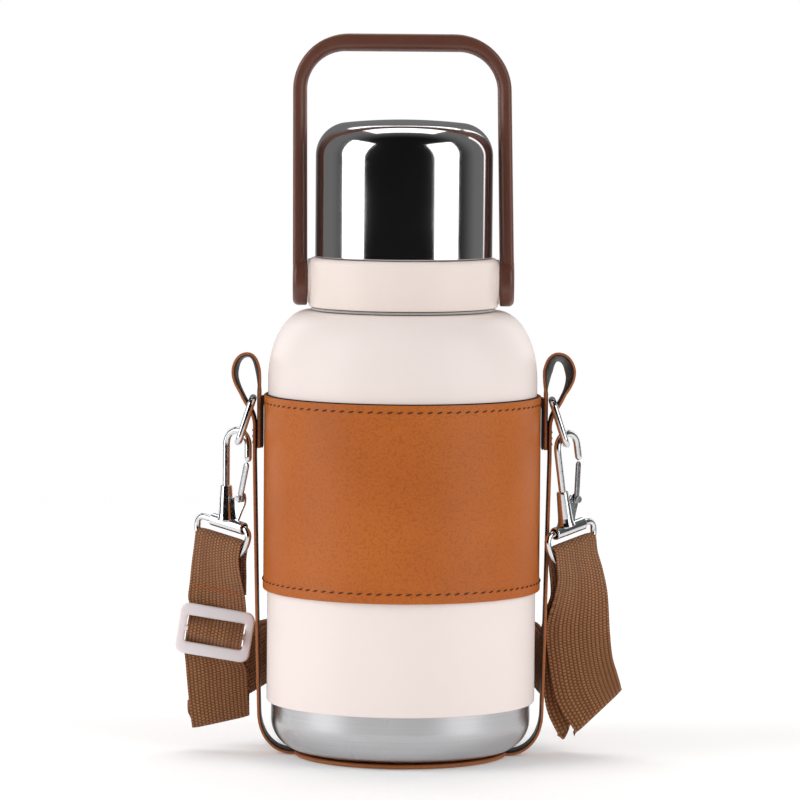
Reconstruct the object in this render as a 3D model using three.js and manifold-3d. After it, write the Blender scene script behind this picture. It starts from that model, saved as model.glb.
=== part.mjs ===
// An insulated canteen: a steel bottle in a leather sleeve and cradle, a lid with a bail
// handle, a push-button stopper and a steel drinking cup, and a webbing strap hung from
// two snap hooks. Millimetres, +Z up, origin at the centre of the underside.
import * as THREE from "three";
import { mergeVertices } from "three/addons/utils/BufferGeometryUtils.js";
import Module from "manifold-3d";

const GAP = 0.3; // between pieces that touch
const ROUND = 36; // sides of the large turned pieces
const deg = THREE.MathUtils.degToRad;

// Driving dimensions.
const SHELL = { radius: 55, wall: 1.2, bottom: 22.2, straightTop: 154, mouthRadius: 30.5 };
const SHOULDER = { innerRadius: 38.8, width: SHELL.radius - 38.8, height: 28.4 };
const BASE = { radius: 53.2, wall: 0.8, corner: 13, bottom: 2.1, top: 30 };
const LINER = { radius: 49.6, wall: 0.8, bottom: 9.6, neckRadius: 30.2, mouth: 199.7 };
const NECK = { inner: 30.5, outer: 31.6, ridge: 32.4, ridgePitch: 5 };
const COLLAR = { radius: 38.6, bottom: 184, top: 204, bore: 33, plate: 3.4, hole: 25 };
const CUP = { radius: 36.1, wall: 0.9, bottom: 204.3, top: 260.2, corner: 13.5 };
const HANDLE = { pivotZ: 194.2, top: 295, bar: 7.2, inner: 39.3, outer: 45.1, depth: 13, earRadius: 9.9 };
const PIN = { radius: 3, from: 33.6, to: 43.6 };
const SLEEVE = { inner: 55.75, outer: 56.7, bottom: 68.2, top: 147.8 };
const STRAP = { thickness: 1.5, width: 12, innerPly: 58.6, outerPly: 60.3, foldEnd: 126 };
const PAD = { radius: 44, thickness: 1.6 };
const RING = { wire: 3, width: 18.2, length: 18, corner: 2.2, topX: 61.3, topZ: 145.6, lean: 18 };
const HOOK = { wire: 2.9, archRadius: 6, shank: -1.3, archZ: 32.9, barrelRadius: 2.6, bore: 1.85 };
const GATE = { u: 6.4, w: 10.8, length: 15.6, width: 2.6, thickness: 1.1 };
const DLOOP = { wire: 2.7, width: 28.2, drop: 15, corner: 3 };
const WEBBING = { width: 25, ply: 1.2, slot: 3.3 };
const BACK_RUN = { inner: 57.4, outer: 65.6, bottom: 21, top: 46, endAngle: 15 };
const SLIDER = { width: 31, height: 21, side: 3.4, bar: 5, thickness: 2.2 };

// Each hook turns about the vertical (yaw), leans in its own plane (lean), and holds its
// barrel at a slight angle (barrelLean); slip is how far the loop has slid in the barrel.
const HOOKS = {
  left: { x: -67.5, y: 0, yaw: -40, lean: 0, barrelLean: 9, slip: -2.6 },
  right: { x: 67.5, y: -2.9, yaw: 46, lean: -10.5, barrelLean: 0, slip: 0.6 },
};
const ARCH_Z = 126.7; // height of the centre of both hooks' arches

const wasm = await Module();
wasm.setup();

// ---- helpers ---------------------------------------------------------------

const point = (x, y) => new THREE.Vector2(x, y);

// Points along an arc of an ellipse, from one angle to another, in degrees.
function arc(cx, cy, rx, ry, from, to, steps) {
  return Array.from({ length: steps + 1 }, (_, i) => {
    const angle = deg(from + ((to - from) * i) / steps);
    return point(cx + rx * Math.cos(angle), cy + ry * Math.sin(angle));
  });
}

// A closed profile of (radius, height) points, counter-clockwise, turned about Z.
function turned(profile, sides = ROUND) {
  const onAxis = profile[0].x === 0;
  const points = onAxis ? profile : [...profile, profile[0]];
  return new THREE.LatheGeometry(points, sides).rotateX(Math.PI / 2);
}

// A flat outline in the XZ plane, given thickness along Y and centred on Y = 0.
function plateXZ(shape, depth, curveSegments = 8) {
  const plate = new THREE.ExtrudeGeometry(shape, { depth, bevelEnabled: false, curveSegments });
  return plate.rotateX(Math.PI / 2).translate(0, depth / 2, 0);
}

function cylinderX(radius, from, to, sides = 24) {
  const length = Math.abs(to - from);
  const rod = new THREE.CylinderGeometry(radius, radius, length, sides);
  return rod.rotateZ(-Math.PI / 2).translate((from + to) / 2, 0, 0);
}

function cylinderY(radius, from, to, sides = 24) {
  const rod = new THREE.CylinderGeometry(radius, radius, Math.abs(to - from), sides);
  return rod.translate(0, (from + to) / 2, 0);
}

function solid(geometry) {
  const bare = geometry.clone();
  bare.deleteAttribute("normal");
  bare.deleteAttribute("uv");
  const merged = mergeVertices(bare, 1e-4);
  const vertProperties = merged.attributes.position.array;
  const triVerts = new Uint32Array(merged.index.array);
  return new wasm.Manifold(new wasm.Mesh({ numProp: 3, vertProperties, triVerts }));
}

function geometryOf(manifold) {
  const mesh = manifold.getMesh();
  const geometry = new THREE.BufferGeometry();
  const positions = new THREE.BufferAttribute(new Float32Array(mesh.vertProperties), 3);
  geometry.setAttribute("position", positions);
  geometry.setIndex(new THREE.BufferAttribute(new Uint32Array(mesh.triVerts), 1));
  const faceted = geometry.toNonIndexed();
  faceted.computeVertexNormals();
  return faceted;
}

const join = (first, ...others) =>
  geometryOf(others.reduce((sum, piece) => sum.add(solid(piece)), solid(first)));
const cut = (from, ...tools) =>
  geometryOf(tools.reduce((rest, tool) => rest.subtract(solid(tool)), solid(from)));

// A band of even thickness whose middle follows a path.
function ribbon(path, thickness, steps) {
  const middle = path.getSpacedPoints(steps);
  const sides = [1, -1].map((side) =>
    middle.map((p, i) => {
      const before = middle[Math.max(i - 1, 0)];
      const after = middle[Math.min(i + 1, steps)];
      const along = after.clone().sub(before).normalize();
      return point(p.x - (along.y * side * thickness) / 2, p.y + (along.x * side * thickness) / 2);
    }),
  );
  return new THREE.Shape([...sides[0], ...sides[1].reverse()]);
}

function roundedRect(target, width, height, radius, cy = 0) {
  const x = width / 2;
  const y = height / 2;
  target.moveTo(-x + radius, cy - y);
  target.lineTo(x - radius, cy - y);
  target.absarc(x - radius, cy - y + radius, radius, -Math.PI / 2, 0);
  target.lineTo(x, cy + y - radius);
  target.absarc(x - radius, cy + y - radius, radius, 0, Math.PI / 2);
  target.lineTo(-x + radius, cy + y);
  target.absarc(-x + radius, cy + y - radius, radius, Math.PI / 2, Math.PI);
  target.lineTo(-x, cy - y + radius);
  target.absarc(-x + radius, cy - y + radius, radius, Math.PI, 1.5 * Math.PI);
  return target;
}

// A flat frame of bent wire: eight-sided wire between an outline and its hole.
function wireFrame(outline, hole, wire, curveSegments = 4) {
  const bevel = wire * 0.29;
  outline.holes.push(hole);
  const frame = new THREE.ExtrudeGeometry(outline, {
    depth: wire - 2 * bevel,
    bevelThickness: bevel,
    bevelSize: bevel,
    bevelOffset: -bevel,
    bevelSegments: 1,
    curveSegments,
  });
  return frame.rotateX(Math.PI / 2).translate(0, wire / 2 - bevel, 0);
}

const finishes = {
  coating: { color: 0xefe7e2, roughness: 0.45, metalness: 0 },
  steel: { color: 0xb8b8bc, roughness: 0.3, metalness: 1 },
  polished: { color: 0xd4d4d8, roughness: 0.08, metalness: 1 },
  chrome: { color: 0xc8c8cc, roughness: 0.12, metalness: 1 },
  leather: { color: 0xb06a32, roughness: 0.6, metalness: 0 },
  lining: { color: 0x17120f, roughness: 0.8, metalness: 0 },
  brown: { color: 0x4e2c22, roughness: 0.35, metalness: 0 },
  white: { color: 0xe8dcd8, roughness: 0.4, metalness: 0 },
  silicone: { color: 0xd9d4cf, roughness: 0.6, metalness: 0 },
  webbing: { color: 0x6b4128, roughness: 0.9, metalness: 0 },
};
const materials = Object.fromEntries(
  Object.entries(finishes).map(([name, look]) => [name, new THREE.MeshStandardMaterial(look)]),
);

function piece(name, geometry, finish) {
  const mesh = new THREE.Mesh(geometry, materials[finish]);
  mesh.name = name;
  return mesh;
}

// ---- bottle ----------------------------------------------------------------

// The shoulder's outline, inset by a distance, from the straight wall up to its top.
function shoulder(inset, steps) {
  const { innerRadius, width, height } = SHOULDER;
  return arc(innerRadius, SHELL.straightTop, width - inset, height - inset, 0, 90, steps);
}

function outerShell() {
  const { radius, wall, bottom, mouthRadius } = SHELL;
  const inside = shoulder(wall, 6).reverse();
  return turned([
    point(radius, bottom),
    ...shoulder(0, 6),
    point(mouthRadius, SHELL.straightTop + SHOULDER.height),
    point(mouthRadius, inside[0].y),
    ...inside,
    point(radius - wall, bottom),
  ]);
}

// The ring round the neck that the lid screws onto, with two ridges for its thread.
function neckRing() {
  const { inner, outer, ridge, ridgePitch } = NECK;
  const bottom = SHELL.straightTop + SHOULDER.height + GAP;
  const ridges = [1, 2].flatMap((turn) => {
    const height = bottom + 2 + turn * ridgePitch;
    return [point(outer, height - 1.2), point(ridge, height - 0.3), point(ridge, height + 0.3), point(outer, height + 1.2)];
  });
  return turned([
    point(inner, bottom),
    point(outer, bottom),
    ...ridges,
    point(outer, LINER.mouth),
    point(inner, LINER.mouth),
  ]);
}

function baseCup() {
  const { radius, wall, corner, bottom, top } = BASE;
  const across = radius - corner;
  const up = bottom + corner;
  return turned([
    point(0, bottom),
    ...arc(across, up, corner, corner, -90, 0, 6),
    point(radius, top),
    point(radius - wall, top),
    ...arc(across, up, corner - wall, corner - wall, 0, -90, 6),
    point(0, bottom + wall),
  ]);
}

function innerLiner() {
  const { radius, wall, bottom, neckRadius, mouth } = LINER;
  const inset = SHELL.radius - radius;
  const bend = 10;
  const outside = shoulder(inset, 5);
  const inside = shoulder(inset + wall, 5).reverse();
  const floor = (thin) => arc(radius - bend, bottom + bend, bend - thin, bend - thin, -90, 0, 4);
  return turned([
    point(0, bottom),
    ...floor(0),
    ...outside,
    point(neckRadius, outside.at(-1).y),
    point(neckRadius, mouth),
    point(neckRadius - wall, mouth),
    point(neckRadius - wall, inside[0].y),
    ...inside,
    ...floor(wall).reverse(),
    point(0, bottom + wall),
  ]);
}

function disc(radius, bottom, top, sides = 20) {
  return turned([point(0, bottom), point(radius, bottom), point(radius, top), point(0, top)], sides);
}

function band(inner, outer, bottom, top, sides = ROUND) {
  const corners = [[inner, bottom], [outer, bottom], [outer, top], [inner, top]];
  return turned(corners.map(([radius, height]) => point(radius, height)), sides);
}

// ---- leather ---------------------------------------------------------------

// One arm of the cradle: from its free end up, round the teardrop loop, down the bottle's
// side and round the corner of its base. side is 1 for +X and -1 for -X.
function armPath(side) {
  const { innerPly, outerPly, foldEnd } = STRAP;
  const apex = [63.4, 163.8];
  const widest = [68.6, 156.2];
  const path = new THREE.Path();
  const bend = (a, b, end) =>
    path.bezierCurveTo(side * a[0], a[1], side * b[0], b[1], side * end[0], end[1]);
  path.moveTo(side * innerPly, foldEnd);
  path.lineTo(side * innerPly, 147);
  bend([58.5, 155], [59.2, 163.8], apex);
  bend([66.8, 163.8], [68.6, 160.2], widest);
  bend([68.6, 152.8], [66.5, 149.6], [65.2, 146.8]);
  bend([63.6, 143.2], [outerPly, 140.5], [outerPly, 135]);
  path.lineTo(side * outerPly, 122);
  path.lineTo(side * 58.7, 45);
  path.lineTo(side * 58, 18);
  bend([58, 8], [52.5, PAD.thickness / 2], [44, PAD.thickness / 2]);
  path.lineTo(side * 36, PAD.thickness / 2);
  return path;
}

function leatherCradle() {
  const arms = [1, -1].map((side) =>
    plateXZ(ribbon(armPath(side), STRAP.thickness, 84), STRAP.width),
  );
  const pad = disc(PAD.radius, 0, PAD.thickness, ROUND);
  return join(pad, ...arms);
}

// The black tab that an arm's loop is sewn to, on the sleeve.
function keeper(side) {
  const thickness = 0.8;
  const inner = STRAP.innerPly - STRAP.thickness / 2 - 0.15 - thickness;
  const height = 21;
  const tab = new THREE.BoxGeometry(thickness, STRAP.width, height);
  return tab.translate(side * (inner + thickness / 2), 0, STRAP.foldEnd + height / 2);
}

// ---- lid -------------------------------------------------------------------

function collar() {
  const { radius, bottom, top, bore, plate, hole } = COLLAR;
  const edge = 2.2;
  const spigot = 30.4;
  const body = turned([
    point(bore, bottom),
    point(radius, bottom),
    ...arc(radius - edge, top - edge, edge, edge, 0, 90, 3),
    point(spigot, top),
    point(spigot, top + 7),
    point(hole + 1, top + 7),
    point(hole, top),
    point(hole, top - plate),
    point(bore, top - plate),
  ]);
  const boss = (side) => cylinderX(9.2, side * 34.5, side * (HANDLE.inner - GAP));
  const bosses = [1, -1].map((side) => boss(side).translate(0, 0, HANDLE.pivotZ));
  const bores = [1, -1].map((side) =>
    cylinderX(PIN.radius + 0.15, side * (PIN.from - 3), side * 42).translate(0, 0, HANDLE.pivotZ),
  );
  return cut(join(body, ...bosses), ...bores);
}

function handle() {
  const { pivotZ, top, bar, inner, outer, depth, earRadius } = HANDLE;
  const corner = 23;
  const topHalf = outer - 0.7;
  const outline = new THREE.Shape();
  outline.moveTo(outer, pivotZ);
  outline.lineTo(topHalf, top - corner);
  outline.absarc(topHalf - corner, top - corner, corner, 0, Math.PI / 2);
  outline.lineTo(corner - topHalf, top);
  outline.absarc(corner - topHalf, top - corner, corner, Math.PI / 2, Math.PI);
  outline.lineTo(-outer, pivotZ);
  outline.lineTo(-inner, pivotZ);
  outline.lineTo(-inner + 0.5, top - corner);
  const innerCorner = corner - bar;
  const innerTop = inner - 0.5 - innerCorner;
  outline.absarc(-innerTop, top - corner, innerCorner, Math.PI, Math.PI / 2, true);
  outline.lineTo(innerTop, top - bar);
  outline.absarc(innerTop, top - corner, innerCorner, Math.PI / 2, 0, true);
  outline.lineTo(inner, pivotZ);
  const bail = plateXZ(outline, depth, 8);
  const ears = [1, -1].map((side) =>
    cylinderX(earRadius, side * inner, side * outer).translate(0, 0, pivotZ),
  );
  const bores = [1, -1].map((side) =>
    cylinderX(PIN.radius + 0.2, side * (inner - 2), side * (PIN.to + GAP)).translate(0, 0, pivotZ),
  );
  return cut(join(bail, ...ears), ...bores);
}

function stopperBody() {
  const plug = 28.6;
  const groove = 26.9;
  const neck = COLLAR.hole - GAP;
  return turned([
    point(5, 186),
    point(plug, 186),
    point(plug, 189),
    point(groove, 189),
    point(groove, 192),
    point(plug, 192),
    point(plug, COLLAR.top - COLLAR.plate - GAP),
    point(neck, COLLAR.top - COLLAR.plate - GAP),
    point(neck, 214),
    point(12.3, 214),
    point(12.3, 189.5),
    point(5, 189.5),
  ]);
}

function pourButton() {
  const radius = 11.9;
  const bottom = 206;
  const dome = arc(0, 214, radius - 1.5, 2.5, 0, 90, 4).slice(0, -1);
  return turned([point(0, bottom), point(radius, bottom), point(radius, 213), ...dome, point(0, 216.5)], 24);
}

// The button's return spring: a helix of round wire.
function buttonSpring() {
  const turns = 5;
  class Helix extends THREE.Curve {
    getPoint(t) {
      const angle = 2 * Math.PI * turns * t;
      return new THREE.Vector3(8.4 * Math.cos(angle), 8.4 * Math.sin(angle), 190.8 + 14.2 * t);
    }
  }
  const section = new THREE.Shape(arc(0, 0, 0.55, 0.55, 0, 300, 5));
  return new THREE.ExtrudeGeometry(section, { steps: turns * 10, extrudePath: new Helix() });
}

function cupShell() {
  const { radius, wall, bottom, top, corner } = CUP;
  const crown = 1.2;
  const across = radius - corner;
  const up = top - crown - corner;
  return turned([
    point(0, top - wall),
    ...arc(across, up, corner - wall, corner - wall, 80, 0, 5),
    point(radius - wall, bottom),
    point(radius, bottom),
    ...arc(across, up, corner, corner, 0, 80, 5),
    point(0, top),
  ]);
}

// ---- strap hardware --------------------------------------------------------

// The rectangular ring in a strap loop, hung by the middle of its top bar.
function ringFrame() {
  const { wire, width, length, corner } = RING;
  const outline = roundedRect(new THREE.Shape(), width + wire, length + wire, corner + wire / 2, -length / 2);
  const hole = roundedRect(new THREE.Path(), width - wire, length - wire, corner - wire / 2, -length / 2);
  return wireFrame(outline, hole, wire, 3).rotateZ(Math.PI / 2);
}

// The hook's bent wire: shank, arch and nose, in the hook's own plane.
function hookWire() {
  const { wire, archRadius, shank, archZ } = HOOK;
  const path = new THREE.Path();
  path.moveTo(shank, 12);
  path.lineTo(shank, archZ);
  path.absarc(shank + archRadius, archZ, archRadius, Math.PI, 0, true);
  path.lineTo(shank + 2 * archRadius, archZ - 5.5);
  const steps = 22;
  const flat = path.getSpacedPoints(steps);
  const route = new THREE.CatmullRomCurve3(flat.map((p) => new THREE.Vector3(p.x, 0, p.y)));
  const section = new THREE.Shape(arc(0, 0, wire / 2, wire / 2, 0, 315, 7));
  return new THREE.ExtrudeGeometry(section, { steps, extrudePath: route });
}

// The cast part of the hook: barrel, socket and the cheek that carries the gate.
function hookBase(barrelLean) {
  const { barrelRadius, shank, wire, bore } = HOOK;
  const barrel = cylinderX(barrelRadius, -8.8, 8.8, 20).rotateY(deg(barrelLean));
  const socket = new THREE.CylinderGeometry(2.3, 3.1, 14.5, 20).rotateX(Math.PI / 2).translate(shank, 0, 8.7);
  const outline = new THREE.Shape(
    [[1, 1], [4.5, 1.5], [8, 8.4], [8, 12.6], [4.8, 13], [0.2, 9.6]].map(([u, w]) => point(u, w)),
  );
  const cheek = plateXZ(outline, 1.2).translate(0, 1.2, 0);
  const bored = cylinderX(bore, -12, 12, 20).rotateY(deg(barrelLean));
  const seat = new THREE.CylinderGeometry(wire / 2 + 0.25, wire / 2 + 0.25, 8, 16);
  const pinHole = cylinderY(0.85, -4, 4, 12).translate(GATE.u, 0, GATE.w);
  const body = join(barrel, socket, cheek);
  return cut(body, bored, seat.rotateX(Math.PI / 2).translate(shank, 0, 15.7), pinHole);
}

// The sprung gate, from its pin up to the tip of the nose.
function gate() {
  const { length, width, thickness, u, w } = GATE;
  const tip = point(HOOK.shank + 2 * HOOK.archRadius - 0.3, HOOK.archZ - 6.3);
  const along = tip.clone().sub(point(u, w)).normalize();
  const across = point(-along.y, along.x).multiplyScalar(width / 2);
  const foot = point(u, w).sub(along.clone().multiplyScalar(1.6));
  const end = point(u, w).add(along.clone().multiplyScalar(length));
  const outline = new THREE.Shape([
    foot.clone().sub(across),
    end.clone().sub(across),
    end.clone().add(across),
    foot.clone().add(across),
  ]);
  const lever = plateXZ(outline, thickness).translate(0, -0.2, 0);
  return cut(lever, cylinderY(0.85, -4, 4, 12).translate(u, 0, w));
}

// The wire loop through the hook's barrel: straight top bar, round lower bow.
function dLoop() {
  const { wire, width, drop, corner } = DLOOP;
  const bow = (target, grow) => {
    const half = width / 2 + grow;
    const radius = corner + grow;
    target.moveTo(-half, -corner);
    target.absellipse(0, -corner, half, drop - corner + grow, Math.PI, 2 * Math.PI);
    target.lineTo(half, -corner);
    target.absarc(half - radius, -corner, radius, 0, Math.PI / 2);
    target.lineTo(radius - half, grow);
    target.absarc(radius - half, -corner, radius, Math.PI / 2, Math.PI);
    return target;
  };
  return wireFrame(bow(new THREE.Shape(), wire / 2), bow(new THREE.Path(), -wire / 2), wire, 5);
}

// The webbing folded over the loop: two plies with a slot between them for the wire.
function webbingEnd() {
  const { width, ply, slot } = WEBBING;
  const half = slot / 2 + ply;
  const top = -4.6;
  const bottom = -24;
  const outline = new THREE.Shape();
  outline.moveTo(-half, bottom);
  outline.lineTo(half, bottom);
  outline.lineTo(half, top - half);
  outline.absarc(0, top - half, half, 0, Math.PI);
  outline.lineTo(-half, bottom);
  const hole = new THREE.Path();
  hole.moveTo(-slot / 2, -19);
  hole.lineTo(-slot / 2, top - half);
  hole.absarc(0, top - half, slot / 2, Math.PI, 0, true);
  hole.lineTo(slot / 2, -19);
  outline.holes.push(hole);
  return plateXZ(outline, width - 1.2).rotateZ(Math.PI / 2);
}

// The strap's run behind the bottle, standing on edge.
function backRun() {
  const { inner, outer, bottom, top, endAngle } = BACK_RUN;
  const from = deg(endAngle);
  const to = Math.PI - from;
  const outline = new THREE.Shape();
  outline.absarc(0, 0, outer, from, to);
  outline.absarc(0, 0, inner, to, from, true);
  const run = new THREE.ExtrudeGeometry(outline, {
    depth: top - bottom,
    bevelEnabled: false,
    curveSegments: 24,
  });
  return run.translate(0, 0, bottom);
}

// The strap hanging beside the bottle, as one plate of two plies, cut off along its fold.
function hangingRun(corners) {
  return plateXZ(new THREE.Shape(corners.map(([x, z]) => point(x, z))), 2 * WEBBING.ply + GAP);
}

function slider() {
  const { width, height, side, bar, thickness } = SLIDER;
  const outline = roundedRect(new THREE.Shape(), width, height, 3.6);
  const window = (height - 2 * bar - 2.4) / 2;
  for (const way of [1, -1]) {
    const middle = way * (1.2 + window / 2);
    outline.holes.push(roundedRect(new THREE.Path(), width - 2 * side, window, 0.8, middle));
  }
  return plateXZ(outline, thickness, 3);
}

// ---- assembly --------------------------------------------------------------

function bottle() {
  const group = new THREE.Group();
  const { inner, outer, bottom, top } = SLEEVE;
  group.add(
    piece("outer_shell", outerShell(), "coating"),
    piece("neck_ring", neckRing(), "steel"),
    piece("base_cup", baseCup(), "steel"),
    piece("inner_liner", innerLiner(), "steel"),
    piece("getter_disc", disc(8, 6.6, LINER.bottom - GAP), "steel"),
    piece("leather_sleeve", band(inner, outer, bottom, top), "leather"),
    piece("sleeve_lining", band(SHELL.radius + 0.2, inner - 0.2, bottom + 1, top + 0.8), "lining"),
    piece("leather_cradle", leatherCradle(), "leather"),
    piece("left_strap_keeper", keeper(-1), "lining"),
    piece("right_strap_keeper", keeper(1), "lining"),
  );
  return group;
}

function lid() {
  const group = new THREE.Group();
  group.add(
    piece("collar", collar(), "white"),
    piece("collar_gasket", band(33.6, 37.6, 182.7, COLLAR.bottom - GAP), "silicone"),
    piece("stopper_body", stopperBody(), "white"),
    piece("stopper_gasket", band(27.2, 29, 189.3, 191.7), "silicone"),
    piece("pour_button", pourButton(), "white"),
    piece("button_spring", buttonSpring(), "steel"),
    piece("valve_stem", disc(2.2, 186, 205.7, 16), "white"),
    piece("valve_seal", disc(8, 183.8, 185.7), "silicone"),
    piece("cup_shell", cupShell(), "polished"),
    piece("cup_thread_ring", band(31, CUP.radius - CUP.wall - GAP, CUP.bottom + GAP, 212), "white"),
    piece("handle", handle(), "brown"),
  );
  for (const [name, side] of [["left", -1], ["right", 1]]) {
    const pin = piece(`${name}_handle_pin`, cylinderX(PIN.radius, side * PIN.from, side * PIN.to), "steel");
    pin.position.z = HANDLE.pivotZ;
    group.add(pin);
  }
  return group;
}

// A snap hook with its loop and the webbing end sewn round it.
function hookAssembly(name) {
  const { x, y, yaw, lean, barrelLean, slip } = HOOKS[name];
  const turn = new THREE.Group();
  turn.position.set(x, y, ARCH_Z);
  turn.rotation.z = deg(yaw);
  const tilt = new THREE.Group();
  tilt.rotation.y = deg(lean);
  const body = new THREE.Group();
  body.position.set(-HOOK.shank - HOOK.archRadius, 0, -HOOK.archZ);
  const pin = cylinderY(0.6, -2.1, 2.1, 12).translate(GATE.u, 0, GATE.w);
  const spring = new THREE.TorusGeometry(1.3, 0.25, 5, 10).rotateX(Math.PI / 2);
  body.add(
    piece(`${name}_hook_wire`, hookWire(), "chrome"),
    piece(`${name}_hook_base`, hookBase(barrelLean), "chrome"),
    piece(`${name}_gate`, gate(), "steel"),
    piece(`${name}_gate_pin`, pin, "steel"),
    piece(`${name}_gate_spring`, spring.translate(GATE.u, -1.5, GATE.w), "steel"),
  );
  const hanging = new THREE.Group();
  hanging.rotation.y = deg(barrelLean);
  const loop = piece(`${name}_d_loop`, dLoop(), "chrome");
  const webbing = piece(`${name}_webbing_end`, webbingEnd(), "webbing");
  loop.position.x = slip;
  webbing.position.x = slip;
  hanging.add(loop, webbing);
  body.add(hanging);
  tilt.add(body);
  turn.add(tilt);
  return turn;
}

function carryStrap() {
  const group = new THREE.Group();
  for (const [name, side] of [["left", -1], ["right", 1]]) {
    const ring = piece(`${name}_ring`, ringFrame(), "chrome");
    ring.position.set(side * RING.topX, 0, RING.topZ);
    ring.rotation.y = deg(-side * RING.lean);
    group.add(ring, hookAssembly(name));
  }
  const left = piece("left_webbing", hangingRun([[-88.7, 66], [-64, 66], [-62.6, 14], [-84.7, 8.3]]), "webbing");
  left.position.y = 9.5;
  const right = piece(
    "right_webbing",
    hangingRun([[62.5, 66], [62.5, 30], [72, 9.5], [90.7, 26.7], [86.6, 66]]),
    "webbing",
  );
  right.position.y = 6;
  const tri = piece("strap_slider", slider(), "white");
  tri.position.set(-76.6, 6.4, 48.5);
  tri.rotation.y = deg(9);
  group.add(left, right, tri, piece("back_webbing", backRun(), "webbing"));
  return group;
}

const canteen = new THREE.Group();
canteen.add(bottle(), lid(), carryStrap());

export default canteen;
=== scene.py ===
import math

import bmesh
import bpy
from mathutils import Matrix, Vector


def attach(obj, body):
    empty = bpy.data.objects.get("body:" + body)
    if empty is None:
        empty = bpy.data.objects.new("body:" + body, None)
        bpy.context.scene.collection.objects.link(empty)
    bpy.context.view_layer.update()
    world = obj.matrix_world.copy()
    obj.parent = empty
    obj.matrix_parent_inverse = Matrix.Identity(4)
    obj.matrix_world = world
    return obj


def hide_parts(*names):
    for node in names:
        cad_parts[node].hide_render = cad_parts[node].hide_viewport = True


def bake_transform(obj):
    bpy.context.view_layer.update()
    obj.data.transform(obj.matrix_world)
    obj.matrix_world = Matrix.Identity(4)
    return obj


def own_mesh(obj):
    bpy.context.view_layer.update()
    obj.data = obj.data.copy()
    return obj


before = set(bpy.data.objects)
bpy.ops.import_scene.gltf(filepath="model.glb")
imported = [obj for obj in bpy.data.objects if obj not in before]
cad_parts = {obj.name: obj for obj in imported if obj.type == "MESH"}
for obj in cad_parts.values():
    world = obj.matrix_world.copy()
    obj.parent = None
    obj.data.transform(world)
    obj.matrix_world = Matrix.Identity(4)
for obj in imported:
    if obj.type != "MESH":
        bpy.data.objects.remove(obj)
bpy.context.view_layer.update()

# The looks of an insulated canteen in a leather sleeve and cradle, with a bail handle, a steel
# cup, and a webbing strap hung from two snap hooks. Millimetres, turned into metres when a mesh
# is made. +Z is up and the camera looks along +Y.

MM = 0.001
CAMERA = {"aside": -1.07, "distance": 2000, "height": 303.4, "down": 4.51, "roll": 0.44, "lens": 220.7}

ROOM = {"front": 0.008, "back": 0.17, "fill": 0.4}  # brightness of what surrounds the canteen

SHELL = {"radius": 55, "wall": 1.2, "bottom": 22.2, "straight_top": 154, "mouth": 30.5}
SHOULDER = {"inner": 38.8, "width": 16.2, "height": 28.4}
NECK = {"inner": 30.5, "outer": 31.6, "bottom": 182.7, "top": 199.7, "thread": 0.75}
BASE = {"radius": 53.2, "wall": 0.8, "corner": 13, "bottom": 2.1, "top": 30}
LINER = {"radius": 49.6, "wall": 0.8, "bottom": 9.6, "neck": 30.2, "mouth": 199.7, "bend": 10}
COLLAR = {"radius": 38.6, "bottom": 184, "top": 204, "bore": 33, "plate": 3.4, "hole": 25, "spigot": 30.4}
CUP = {"radius": 36.1, "wall": 0.9, "bottom": 204.3, "top": 260.2, "corner": 13.5, "crown": 1.4}
HANDLE = {"pivot": 194.2, "top": 295, "bar": 7.2, "inner": 39.3, "outer": 45.1, "depth": 13, "ear": 9.9}
HANDLE_SKEW = -0.0135  # the bail leans this far to its left for each millimetre of height
SLEEVE = {"inner": 55.75, "outer": 56.6, "bottom": 68.2, "top": 147.8, "hem": 4.6, "proud": 0.22}
STRAP = {"thickness": 1.5, "width": 12, "inner_ply": 58.6, "outer_ply": 60.3, "fold_end": 126}
PAD = {"radius": 44, "thickness": 1.6}
RING = {"wire": 3, "width": 18.2, "length": 18, "corner": 2.2, "x": 61.3, "z": 145.6, "lean": 18}
HOOK = {"wire": 2.9, "arch": 6, "shank": -1.3, "arch_z": 32.9, "barrel": 2.6, "bore": 1.85, "half": 8.8}
GATE = {"u": 6.4, "w": 10.8, "length": 15.6, "width": 2.6, "thickness": 1.1}
D_LOOP = {"wire": 2.7, "width": 28.2, "drop": 15, "corner": 3}
SLIDER = {"x": -76.6, "y": 6.4, "z": 48.5, "tilt": 9, "width": 31, "height": 21, "side": 3.4, "bar": 5}
SLIDER_THICKNESS = 2.2
WEBBING = {"width": 25, "ply": 1.2, "slot": 3.3, "fold": -4.6}
WEAVE = {"row": 1.15, "column": 1.6}
BACK_Z = 38.5  # middle of the strap's run behind the bottle
PRESS_SPRING = {"radius": 8.4, "wire": 1.1, "bottom": 191, "length": 13.8, "pressed": 0.78}
STITCH_PITCH = 4
ARCH_Z = 126.7
HOOKS = {
    "left": {"x": -67.5, "y": 0, "yaw": -40, "lean": 0, "barrel_lean": 9, "slip": -2.6},
    "right": {"x": 67.5, "y": -2.9, "yaw": 46, "lean": -10.5, "barrel_lean": 0, "slip": 0.6},
}
SIDES = {"left": -1, "right": 1}

scene = bpy.context.scene


# ---- camera, light and floor ----


def make_camera():
    camera = bpy.data.objects.new("camera", bpy.data.cameras.new("camera"))
    camera.data.lens = CAMERA["lens"]
    camera.data.clip_end = 20
    camera.location = Vector((CAMERA["aside"], -CAMERA["distance"], CAMERA["height"])) * MM
    aim = Matrix.Rotation(math.radians(90 - CAMERA["down"]), 3, "X")
    camera.rotation_euler = (aim @ Matrix.Rotation(math.radians(CAMERA["roll"]), 3, "Z")).to_euler()
    scene.collection.objects.link(camera)
    scene.camera = camera


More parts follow.
